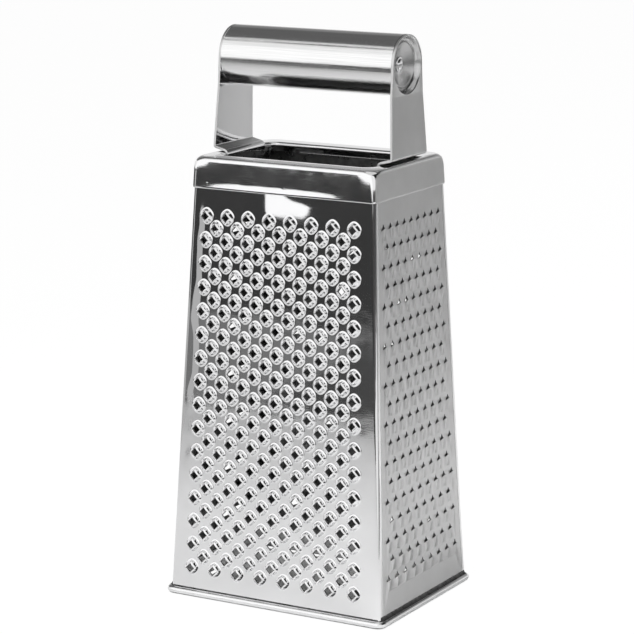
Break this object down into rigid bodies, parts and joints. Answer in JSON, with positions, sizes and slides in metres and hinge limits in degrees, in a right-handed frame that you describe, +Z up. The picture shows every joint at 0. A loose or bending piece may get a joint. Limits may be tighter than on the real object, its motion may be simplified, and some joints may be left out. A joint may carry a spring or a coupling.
{
  "type": "box grater",
  "caption": "Four-sided steel box grater on a wired rim, with fine crowns, shredding teeth, slicing slots, a folded collar and a tube grip between two straps.",
  "frame": {"origin": "middle of the rim's underside, which is the lowest face and rests on the worktop", "axes": "+Z up towards the grip, +X along the grip tube towards the medium shredding panel, -Y out of the fine grating panel"},
  "size_m": [0.1066, 0.083, 0.2416],
  "materials": {
    "polished_steel": "mirror polished stainless steel",
    "satin_steel": "satin stainless steel sheet",
    "brushed_tube": "stainless steel tube, finely brushed along its length",
    "drawn_wire": "bright drawn steel wire and rod"
  },
  "bodies": {
    "root": {"front_panel": "polished_steel", "back_panel": "polished_steel", "right_panel": "satin_steel", "left_panel": "satin_steel", "base_rim": "polished_steel", "rim_wire": "drawn_wire", "top_collar": "polished_steel", "left_bracket": "satin_steel", "right_bracket": "satin_steel", "grip_tube": "brushed_tube", "tie_rod": "drawn_wire"}
  },
  "joints": []
}
